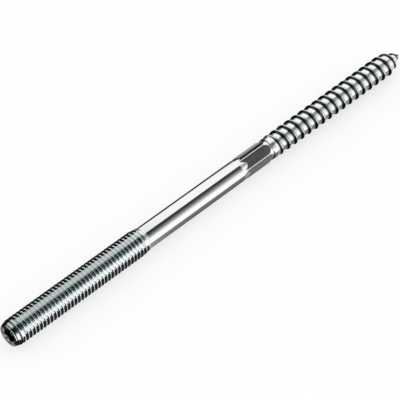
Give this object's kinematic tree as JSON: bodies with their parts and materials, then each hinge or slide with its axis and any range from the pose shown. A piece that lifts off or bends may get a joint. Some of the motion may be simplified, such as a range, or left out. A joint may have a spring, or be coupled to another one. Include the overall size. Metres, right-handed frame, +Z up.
{
  "type": "hanger bolt",
  "caption": "Slim steel rod, machine thread with a six-lobe socket at one end, pointed wood thread at the other, plain shank and short hexagonal grip between.",
  "frame": {"origin": "on the surface the bolt lies on, below the middle of its length", "axes": "+X along the bolt from the flat socketed end to the wood point, +Z up, bolt lying level on its machine thread"},
  "size_m": [0.16, 0.0078, 0.0078],
  "materials": {
    "zinc_plated_steel": "bright zinc plating over cold-formed steel, smooth and reflective, slightly bluish on the threads"
  },
  "bodies": {
    "root": {"hanger_bolt": "zinc_plated_steel"}
  },
  "joints": []
}
